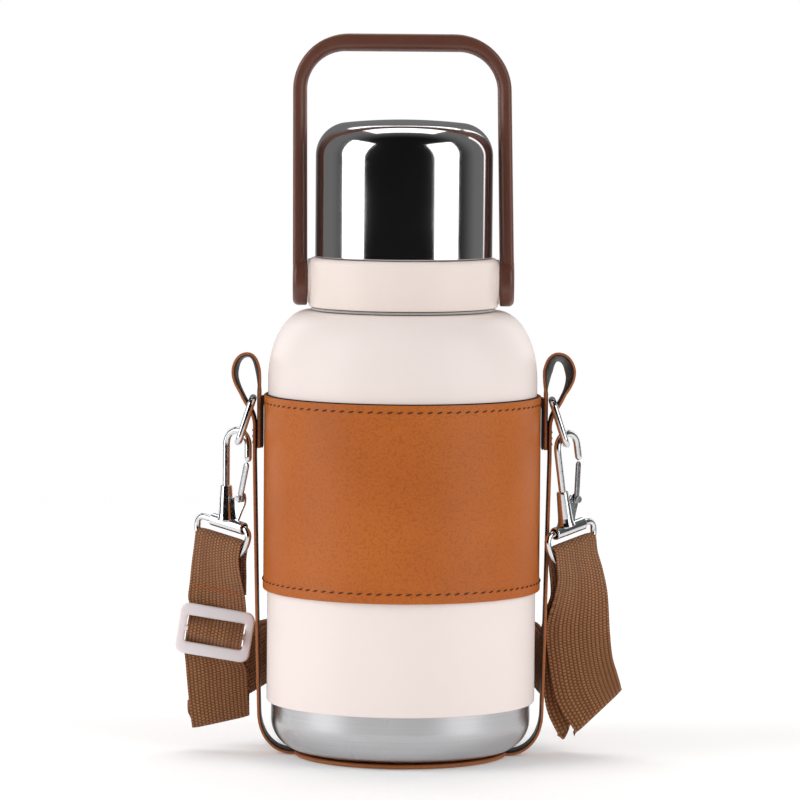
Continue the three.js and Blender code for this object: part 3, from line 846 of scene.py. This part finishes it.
def stopper():
    plug, groove, neck, bore = 28.6, 26.9, COLLAR["hole"] - 0.3, 12.3
    under = COLLAR["top"] - COLLAR["plate"] - 0.3
    return turned([
        (5, 186),
        *arc(plug - 1, 187, 1, 1, -90, 0, 4),
        (plug, 189),
        (groove, 189),
        (groove, 192),
        (plug, 192),
        (plug, under),
        (neck, under),
        *arc(neck - 0.8, 213.2, 0.8, 0.8, 0, 90, 4),
        *arc(bore + 0.6, 213.4, 0.6, 0.6, 90, 180, 4),
        (bore, 189.5),
        (5, 189.5),
    ])


def button():
    """The push button: a shallow dish in its top and a fine groove round its edge."""
    radius, bottom = 11.9, 206
    dish = [(r, 215.4 + 0.9 * (r / 8.5) ** 2) for r in (8.5, 6.5, 4.5, 2.5, 1)]
    return turned([
        (0, bottom),
        (radius, bottom),
        (radius, 211.4),
        (radius - 0.3, 211.7),
        (radius, 212),
        *arc(radius - 2.6, 213.9, 2.6, 2.55, 0, 80, 8),
        *dish,
        (0, 215.4),
    ], 96)


def gasket(inner, outer, bottom, top):
    middle, half = (inner + outer) / 2, (top - bottom) / 2
    width = (outer - inner) / 2
    return turned([(middle + x, bottom + half + z) for x, z in rounded(2 * width, 2 * half, 0.4)])


def cup_shell():
    radius, wall, bottom, top, corner = (CUP[key] for key in ("radius", "wall", "bottom", "top", "corner"))
    crown, bend = CUP["crown"], 80
    across = radius - corner
    up = top - crown - corner * math.sin(math.radians(bend))
    edge = across + corner * math.cos(math.radians(bend))
    crowned = [(edge * k / 10, top - crown * (k / 10) ** 2) for k in range(9, -1, -1)]
    inside = [(r, z - wall) for r, z in reversed(crowned)]
    return turned([
        *inside,
        *arc(across, up, corner - wall, corner - wall, bend, 0, 20),
        (radius - wall, bottom + 0.4),
        *arc(radius - wall / 2, bottom + wall / 2, wall / 2, wall / 2, 180, 360, 8),
        *arc(across, up, corner, corner, 0, bend, 28),
        *crowned,
    ], 256)


def cup_thread():
    """The plastic ring that screws the cup down, with its thread inside."""
    inner, outer, bottom, top = 31, CUP["radius"] - CUP["wall"] - 0.3, CUP["bottom"] + 0.3, 212
    ridges = []
    for height in (210.5, 208, 205.8):
        ridges += [(inner, height + 0.5), (inner - 0.15, height), (inner, height - 0.5)]
    edge = [(outer, bottom), (outer, top - 0.4), (outer - 0.4, top), (inner, top)]
    return turned([*edge, *ridges, (inner, bottom)])


def bail():
    """The handle: a rounded bar bent over the cup, with a round ear at each foot."""
    pivot, top, bar = HANDLE["pivot"], HANDLE["top"], HANDLE["bar"]
    depth, corner = HANDLE["depth"], 23
    half = HANDLE["outer"] - 0.7
    inner_half, inner_corner = HANDLE["inner"] - 0.5, corner - bar

    def outline(foot, reach, height, radius):
        bend = arc(reach - radius, height - radius, radius, radius, 0, 90, 24)
        rise = height - radius - pivot
        leg = [(foot + (reach - foot) * k / 12, pivot + rise * k / 12) for k in range(12)]
        beam = [((reach - radius) * (1 - k / 12), height) for k in range(1, 12)]
        right = leg + bend + beam
        return [*right, (0, height), *[(-x, z) for x, z in reversed(right)]]

    def skewed(points):
        return [Vector((x + HANDLE_SKEW * (z - pivot), 0, z)) for x, z in points]

    outer = skewed(outline(HANDLE["outer"], half, top, corner))
    inner = skewed(outline(HANDLE["inner"], inner_half, top - bar, inner_corner))
    ears = []
    for side in (1, -1):
        rim = 2.2
        radius, near, far = HANDLE["ear"], HANDLE["inner"], HANDLE["outer"]
        ear = turned([
            (0, near),
            *arc(radius - 0.8, near + 0.8, 0.8, 0.8, -90, 0, 4),
            *arc(radius - rim, far - rim, rim, rim, 0, 90, 8),
            (4.4, far),
            (4.1, far - 0.25),
            (0, far - 0.25),
        ], 64)
        turn = Matrix.Rotation(math.radians(90 * side), 4, "Y")
        ears.append(moved(ear, Matrix.Translation((0, 0, pivot)) @ turn))
    return merged(rail(outer, inner, lambda width: bail_section(width, depth), (0, 1, 0)), *ears)


# ---- strap hardware ----


def hook_frame(side):
    """The hook's own frame: X across, Y through it, Z up its shank."""
    hook = HOOKS[side]
    hang = Matrix.Translation((hook["x"], hook["y"], ARCH_Z))
    yaw = Matrix.Rotation(math.radians(hook["yaw"]), 4, "Z")
    lean = Matrix.Rotation(math.radians(hook["lean"]), 4, "Y")
    drop = Matrix.Translation((-HOOK["shank"] - HOOK["arch"], 0, -HOOK["arch_z"]))
    return hang @ yaw @ lean @ drop


def loop_frame(side):
    """The loop's frame: X along its straight bar and Z up."""
    hook = HOOKS[side]
    lean = Matrix.Rotation(math.radians(hook["barrel_lean"]), 4, "Y")
    return hook_frame(side) @ lean @ Matrix.Translation((hook["slip"], 0, 0))


def wire_ring(side):
    """The rectangular ring in a strap loop."""
    length = RING["length"]
    outline = rounded(RING["width"], length, RING["corner"] + 0.6, 6)
    path = [Vector((0, y, z - length / 2)) for y, z in outline]
    hang = Matrix.Translation((side * RING["x"], 0, RING["z"]))
    lean = Matrix.Rotation(math.radians(-side * RING["lean"]), 4, "Y")
    return moved(tube(path, RING["wire"] / 2, (1, 0, 0), loop=True), hang @ lean)


def hook_wire():
    shank, arch, arch_z = HOOK["shank"], HOOK["arch"], HOOK["arch_z"]
    nose = (shank + 2 * arch, arch_z - 5.2)
    bend = arc(shank + arch, arch_z, arch, arch, 180, 0, 28)
    path = spaced([(shank, 12), (shank, arch_z), *bend, nose], 0.9)
    return tube([(u, 0, w) for u, w in path], HOOK["wire"] / 2, (0, 1, 0), domed=True)


def hook_base(barrel_lean):
    """Barrel, socket and the cheek that holds the gate's pin."""
    half, radius, bore = HOOK["half"], HOOK["barrel"], HOOK["bore"]
    lip = 0.35
    barrel = turned([
        (bore, -half),
        *arc(radius - lip, lip - half, lip, lip, -90, 0, 3),
        *arc(radius - lip, half - lip, lip, lip, 0, 90, 3),
        (bore, half),
    ], 48)
    barrel = moved(barrel, Matrix.Rotation(math.radians(90 + barrel_lean), 4, "Y"))
    inner = HOOK["wire"] / 2 + 0.1
    socket = turned([
        (inner, 1.6),
        (3.9, 1.6),
        (3.3, 3.2),
        (3.05, 5),
        (2.45, 15.2),
        (2.35, 15.8),
        (inner + 0.2, 16),
        (inner, 15.6),
    ], 48)
    socket = moved(socket, Matrix.Translation((HOOK["shank"], 0, 0)))
    outline = [(1, 1), (4.5, 1.5), (6.2, 5.2), (8, 8.4), (8.4, 10.8)]
    outline += [(7.9, 12.9), (6.6, 13.5), (4.8, 13), (0.2, 9.6)]
    cheek = moved(plate(outline, 1.2), Matrix.Translation((0, 1.2, 0)))
    return merged(barrel, socket, cheek)


def gate_lever():
    """The sprung gate, from its pin to the tip of the nose."""
    tip = Vector((HOOK["shank"] + 2 * HOOK["arch"] - 0.3, HOOK["arch_z"] - 6.3))
    foot = Vector((GATE["u"], GATE["w"]))
    along = (tip - foot).normalized()
    across = Vector((-along.y, along.x))
    heel, round_end = 1.6, 1.2
    rings = []
    for i in range(25):
        reach = -heel + (GATE["length"] + heel) * i / 24
        end = min(reach + heel, GATE["length"] - reach, round_end)
        half = GATE["width"] / 2 * math.sqrt(max(1 - (1 - end / round_end) ** 2, 0.05))
        spot = foot + along * reach
        section = rounded(2 * half, GATE["thickness"], 0.45)
        rings.append([(spot.x + across.x * x, y - 0.2, spot.y + across.y * x) for x, y in section])
    return loft(rings)


def gate_pin():
    head = 1.1
    profile = [(0, -2.1), (head, -2.1), (head, -1.85), (0.6, -1.7)]
    profile += [(0.6, 1.7), (head, 1.85), (head, 2.1), (0, 2.3)]
    turn = Matrix.Translation((GATE["u"], 0, GATE["w"])) @ Matrix.Rotation(math.radians(-90), 4, "X")
    return moved(turned(profile, 32), turn)


def press_spring():
    """The coil under the button."""
    coil, radius = [], PRESS_SPRING["radius"]
    for i in range(241):
        angle = 2 * math.pi * 5 * i / 240
        height = PRESS_SPRING["bottom"] + PRESS_SPRING["length"] * i / 240
        coil.append(Vector((radius * math.cos(angle), radius * math.sin(angle), height)))
    return tube(coil, PRESS_SPRING["wire"] / 2, (0, 0, 1), sides=10)


def gate_spring():
    """A small torsion spring round the gate's pin."""
    coil = []
    for i in range(73):
        angle = 2 * math.pi * 3 * i / 72
        coil.append(Vector((1.3 * math.cos(angle), -1.75 + 0.55 * i / 72, 1.3 * math.sin(angle))))
    shape = tube(coil, 0.16, (0, 1, 0), sides=8)
    return moved(shape, Matrix.Translation((GATE["u"], 0, GATE["w"])))


def d_loop():
    half, drop, corner = D_LOOP["width"] / 2, D_LOOP["drop"], D_LOOP["corner"]
    bow = arc(0, -corner, half, drop - corner, 180, 360, 40)
    right = arc(half - corner, -corner, corner, corner, 0, 90, 8)
    left = arc(corner - half, -corner, corner, corner, 90, 180, 8)
    path = spaced([*bow, *right, *left], 0.9)[:-1]
    return tube([(u, 0, w) for u, w in path], D_LOOP["wire"] / 2, (0, 1, 0), loop=True)


def slider_frame():
    turn = Matrix.Rotation(math.radians(SLIDER["tilt"]), 4, "Y")
    return Matrix.Translation((SLIDER["x"], SLIDER["y"], SLIDER["z"])) @ turn


def tri_glide():
    """The adjuster: a rounded frame and a bar across its middle."""
    width, height, side, bar = (SLIDER[key] for key in ("width", "height", "side", "bar"))
    outer = [Vector((x, 0, z)) for x, z in rounded(width, height, 3.6, 8)]
    inner = [Vector((x, 0, z)) for x, z in rounded(width - 2 * side, height - 2 * bar, 1.2, 8)]
    frame_part = rail(outer, inner, lambda bar: rounded(bar, SLIDER_THICKNESS, 0.9), (0, 1, 0), loop=True)
    reach = width / 2 - side + 0.6
    section = rounded(2.4, SLIDER_THICKNESS - 0.1, 0.7)
    middle = loft([[Vector((x, y, z)) for z, y in section] for x in (-reach, reach)])
    return moved(merged(frame_part, middle), slider_frame())


# ---- webbing ----


def smooth_stations(keys, step=0.55):
    """Stations (centre, half width) at an even spacing on a smooth line through the keys."""
    dense = []
    for i in range(len(keys) - 1):
        around = [keys[min(max(i + k, 0), len(keys) - 1)] for k in (-1, 0, 1, 2)]
        pieces = max(2, round((keys[i + 1][0] - keys[i][0]).length / 0.4))
        for j in range(pieces):
            t = j / pieces
            weights = (
                (-t + 2 * t * t - t**3) / 2,
                (2 - 5 * t * t + 3 * t**3) / 2,
                (t + 4 * t * t - 3 * t**3) / 2,
                (t**3 - t * t) / 2,
            )
            centre = sum((around[k][0] * weights[k] for k in range(4)), Vector((0, 0, 0)))
            half = sum((around[k][1] * weights[k] for k in range(4)), Vector((0, 0, 0)))
            dense.append((centre, half))
    dense.append(keys[-1])
    both = spaced([Vector((*centre, *half)) for centre, half in dense], step)
    return [(Vector(p[:3]), Vector(p[3:])) for p in both]


def woven(stations, start):
    """The strap's cross-sections along its stations: (points, places along and across it, length so far)."""
    ply, count = WEBBING["ply"] / 2, 10
    sections = []
    run = start
    last = len(stations) - 1
    for i, (centre, half) in enumerate(stations):
        before, after = stations[max(i - 1, 0)][0], stations[min(i + 1, last)][0]
        if i:
            run += (centre - stations[i - 1][0]).length
        normal = (after - before).cross(half).normalized()
        scallop = 1 + 0.006 * math.sin(2 * math.pi * run / WEAVE["row"])
        points, lay = [], []
        for face in (1, -1):
            for k in range(count + 1):
                t = face * (2 * k / count - 1)
                thick = ply * (1 - 0.55 * abs(t) ** 8) * face
                points.append(centre + half * t * scallop + normal * thick)
                lay.append((run, t * WEBBING["width"] / 2, face))
        sections.append((points, lay, run))
    return sections


def bands(stations, sections, heights):
    """The sections cut where their middles cross the heights: for each band from the top, its lengths."""
    level = [sum(centre.z < height for height in heights) for centre, _ in stations]
    cut = [[] for _ in range(len(heights) + 1)]
    start = 0
    for i in range(1, len(level) + 1):
        if i == len(level) or level[i] != level[start]:
            cut[level[start]].append(sections[start : i + 1])
            start = i
    return cut


def yawed(half, yaw, fall):
    """A half width turned about the vertical, and falling towards +X by some angle, in degrees."""
    yaw, fall = math.radians(yaw), math.radians(fall)
    level = math.cos(fall)
    return Vector((math.cos(yaw) * level, math.sin(yaw) * level, -math.sin(fall))) * half


def loop_fold(side):
    """Keys of the fold over the loop's bow: up behind it, over, and down in front."""
    here = loop_frame(side)
    half = here.to_3x3() @ Vector((WEBBING["width"] / 2, 0, 0))
    radius = (WEBBING["slot"] + WEBBING["ply"]) / 2
    crest = WEBBING["fold"] - WEBBING["ply"] / 2 - radius
    arch = arc(0, crest, radius, radius, 0, 180, 6)
    return [(here @ Vector((0, n, w)), half.copy()) for n, w in [(radius, -13), *arch, (-radius, -13)]]


def key(x, y, z, *half):
    return Vector((x, y, z)), Vector(half)


def round_back(radius, start, end):
    """Keys of a run behind the bottle, standing on edge, between two angles from +X, in degrees."""
    count = round(abs(end - start) / 12)
    keys = []
    for i in range(count + 1):
        angle = math.radians(start + (end - start) * i / count)
        x, y = radius * math.cos(angle), radius * math.sin(angle)
        keys.append(key(x, y, BACK_Z, 0, 0, WEBBING["width"] / 2))
    return keys


def left_strap():
    """From its sewn end up behind the loop, over, and down in front through the slider to the lower fold."""
    half = WEBBING["width"] / 2
    glide = slider_frame()
    weave = [(8.4, 2.0), (5.4, 1.4), (3.2, 0), (1.6, -1.7)]
    weave += [(-z, y) for z, y in reversed(weave)]
    inside = yawed(half - 0.8, -6, SLIDER["tilt"])
    through = [(glide @ Vector((0, y, z)), inside.copy()) for z, y in weave]
    return [
        (Vector((-75, 7.7, 66.2)), yawed(half, -24, 8)),
        (Vector((-73.9, 8.6, 74)), yawed(half, -34, 9)),
        *loop_fold("left"),
        (Vector((-76.1, 4.9, 75)), yawed(half, -34, 9)),
        (Vector((-75.8, 6.2, 67.4)), yawed(half, -24, 8)),
        (Vector((-75.8, 7.6, 61)), yawed(half, -14, 8)),
        *through,
        key(-76.2, 9, 34, half, 0, -0.9),
        key(-75.4, 9.1, 24, half - 0.2, 0, 0.4),
        key(-74.4, 9.2, 14, half - 0.6, 0, 2.4),
        key(-74.1, 10.4, 11.2, half - 0.7, 0, 2.7),
        key(-74.3, 11.7, 14, half - 0.6, 0, 2.6),
    ]


def back_strap():
    """Up behind the left end, folded on the diagonal, along the bottle's back, and up on the right."""
    half = WEBBING["width"] / 2
    return [
        key(-74.3, 11.7, 14, half - 0.6, 0, 2.6),
        key(-75, 11.8, 20, half, 0, 6),
        key(-75.4, 12, 26, half, 0, 10.5),
        key(-75.4, 12.9, 31.2, half, 0, half),
        key(-74.2, 14, 31.6, half, 0, half),
        key(-69, 14.4, 32, 7, 2, half),
        key(-63.8, 16.2, 33, 2, 2, half),
        *round_back(59.2, 156, 24),
        key(58.4, 17.6, 34.2, -0.5, 0, half),
        key(64.8, 12.8, 26, -5, 0.6, half),
        key(72, 10.6, 17.4, 4, 0, half),
        key(74.6, 10.2, 17, 9.5, 0, 10.5),
        key(75, 8.8, 17.4, 9.8, 0, 10.5),
        key(73, 8.4, 25, half, 0, 8),
        key(70.8, 8.6, 34, half, 0, 3),
        key(69.4, 9, 46, half, 0, 0),
    ]


def right_strap():
    """Up behind on the right, over the loop, down in front, folded, and round to the back again."""
    half = WEBBING["width"] / 2
    return [
        key(69.4, 9, 46, half, 0, 0),
        (Vector((71.3, 9.6, 58)), yawed(half, 14, 0)),
        (Vector((72, 7.4, 67)), yawed(half, 32, -4)),
        *loop_fold("right"),
        (Vector((73.4, 0.8, 74)), yawed(half, 40, -8)),
        (Vector((73.8, 3, 65)), yawed(half, 26, -2)),
        key(73, 4.6, 51, half + 0.6, 0.6, -0.8),
        key(74.2, 5.1, 38.7, half + 0.6, 0, 1.2),
        key(77, 5.2, 27, half, 0, 5.6),
        key(81.4, 5.6, 18, 9.6, 0, 9),
        key(80.8, 7, 17.6, 9.4, 0, 9.2),
        key(76, 7.2, 19, 4, 0, half),
        key(69, 9.6, 24, -3, 0.6, half),
        key(62.4, 15.6, 32, -1, 0.6, half),
        *round_back(62.2, 24, 158),
        key(-60.2, 21.6, BACK_Z, 0, 0, half),
        key(-61.6, 23.4, BACK_Z, 0, 0, half),
        *round_back(65.2, 156, 48),
    ]


def bartack(stations, height):
    """Zigzag stitches across the front ply, seen from the front."""
    front = [i for i, (centre, _) in enumerate(stations) if abs(centre.z - height) < 0.5][-1]
    centre, half = stations[front]
    out = (stations[front + 1][0] - centre).cross(half).normalized()
    if out.y > 0:
        out = -out
    down = half.normalized().cross(out)
    shapes = []
    for i in range(15):
        t = -0.82 + 1.64 * i / 14
        slant = (half.normalized() + down * (0.7 if i % 2 else -0.7)).normalized()
        spot = centre + half * t + out * (WEBBING["ply"] / 2 + 0.05)
        shapes.append(stitch(spot, slant, out, 2.2, 0.24))
    return merged(*shapes)


# ---- assembly ----


def lay_webbing(name, lengths, body, bend, stands_for):
    """Lengths of the strap as one piece, riding a body, or, when bend is given, on no body with its place baked
    into its mesh. The bodies and points that bend holds are not used.
    """
    shape = merged(*[loft([points for points, _, _ in length]) for length in lengths])
    places = [spot for length in lengths for _, spots, _ in length for spot in spots]
    piece = place(name, shape, "webbing", body, stands_for, sharp=80, lay=places)
    if bend:
        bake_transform(piece)


def hang_webbing(side, stations, sections, heights, stands_for):
    """One side of the strap, cut at the heights into bands. The three upper bands are laid on no body, and the
    rest rides the bottle.
    """
    bodies = [f"{side}_loop", f"{side}_hook", f"{side}_ring", "bottle"]
    top, middle, low, rest = bands(stations, sections, heights)
    front = {round(centre.z): centre for centre, _ in stations if centre.y < 12}
    for name, lengths, upper, lower, start, end in (
        ("fold", top, 0, 1, heights[0] + 3, heights[0]),
        ("upper", middle, 1, 2, heights[0], heights[1]),
        ("lower", low, 2, 3, heights[1], heights[2]),
    ):
        bend = (bodies[upper], bodies[lower], front[start], front[end])
        lay_webbing(f"{side}_strap_{name}", lengths, None, bend, stands_for)
    lay_webbing(f"{side}_strap", rest, "bottle", None, stands_for)


make_camera()
make_world()
make_floor()
softbox("left_softbox", -70, 0.75, 1.7, (1.15, 1.9), 21)
softbox("right_softbox", 57, 0.75, 1.7, (1.2, 1.9), 17)
softbox("left_rim", -137, 0.6, 1.7, (0.5, 1.6), 5)
softbox("right_rim", 140, 0.6, 1.7, (0.9, 1.6), 6)
softbox("top_softbox", 180, 1.9, 0.9, (1.5, 1.5), 14)
scene.view_settings.view_transform = "Standard"

materials = make_materials()

place("shell", bottle_shell(), "coating", "bottle", ["outer_shell"])
place("steel_base", base_cup(), "base_steel", "bottle", ["base_cup"])
place("liner", liner(), "base_steel", "bottle", ["inner_liner"])
place("threaded_neck", neck_ring(), "base_steel", "bottle", ["neck_ring"], 25)
place("sleeve", sleeve(), "leather", "bottle", ["leather_sleeve"])
place("sleeve_seam", sleeve_seam(), "leather", "bottle")
place("sleeve_stitches", sleeve_stitches(), "dark_thread", "bottle")
place("lining", sleeve_lining(), "lining", "bottle", ["sleeve_lining"])

LOOP_TWISTS = {"left": 7, "right": -16}
cradle_shape, backs = cradle(LOOP_TWISTS)
place("cradle", cradle_shape, "strap_leather", "bottle", ["leather_cradle"], hide=backs)

for side, sign in SIDES.items():
    place(f"{side}_loop_stitches", loop_stitches(side), "dark_thread", "bottle")
    # The keeper takes the dark lining finish, partly painted shade for the shadow it sits in.
    place(f"{side}_keeper", keeper(sign), "lining", "bottle", [f"{side}_strap_keeper"])

place("lid_collar", collar(), "white_plastic", "lid", ["collar"])
place("stopper", stopper(), "white_plastic", "lid", ["stopper_body"])
place("collar_seal", gasket(33.6, 37.6, 182.7, 183.7), "silicone", "lid", ["collar_gasket"])
place("stopper_seal", gasket(27.2, 29, 189.3, 191.7), "silicone", "lid", ["stopper_gasket"])
place("push_button", button(), "white_plastic", "button", ["pour_button"])
place("cup", cup_shell(), "polished_steel", "cup", ["cup_shell"])
place("cup_thread", cup_thread(), "white_plastic", "cup", ["cup_thread_ring"], 25)
place("bail", bail(), "brown_plastic", "handle", ["handle"])

for side, sign in SIDES.items():
    hook, loop, base = hook_frame(side), loop_frame(side), hook_base(HOOKS[side]["barrel_lean"])
    for name, shape, finish, body, node, bevel in (
        ("wire_ring", wire_ring(sign), "chrome", "ring", "ring", 0),
        ("wire", moved(hook_wire(), hook), "chrome", "hook", "hook_wire", 0),
        ("base", moved(base, hook), "chrome", "hook", "hook_base", 0.22),
        ("pin", moved(gate_pin(), hook), "spring_steel", "hook", "gate_pin", 0),
        ("coil", moved(gate_spring(), hook), "spring_steel", "hook", "gate_spring", 0),
        ("lever", moved(gate_lever(), hook), "spring_steel", "gate", "gate", 0),
        ("loop_wire", moved(d_loop(), loop), "chrome", "loop", "d_loop", 0),
    ):
        place(f"{side}_{name}", shape, finish, f"{side}_{body}", [f"{side}_{node}"], bevel=bevel)

place("tri_glide", tri_glide(), "slider_plastic", "slider", ["strap_slider"])

left = smooth_stations(left_strap())
back = smooth_stations(back_strap())
right = smooth_stations(right_strap())
left_sections = woven(left, 0)
back_sections = woven(back, left_sections[-1][2])
right_sections = woven(right, back_sections[-1][2])
hang_webbing("left", left, left_sections, (76, 70, 61), ["left_webbing", "left_webbing_end"])
lay_webbing("back_strap", [back_sections], "bottle", None, ["back_webbing"])
hang_webbing("right", right, right_sections, (76, 68, 56), ["right_webbing", "right_webbing_end"])
place("left_bartack", bartack(left, 67), "orange_thread", "bottle")

spring = place("press_spring", press_spring(), "spring_steel", "lid", ["button_spring"])
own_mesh(spring)

finishes = {
    "getter_disc": "base_steel",
    "valve_stem": "white_plastic",
    "valve_seal": "silicone",
    "left_handle_pin": "base_steel",
    "right_handle_pin": "base_steel",
}
for name, finish in finishes.items():
    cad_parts[name].data.materials.clear()
    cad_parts[name].data.materials.append(materials[finish])
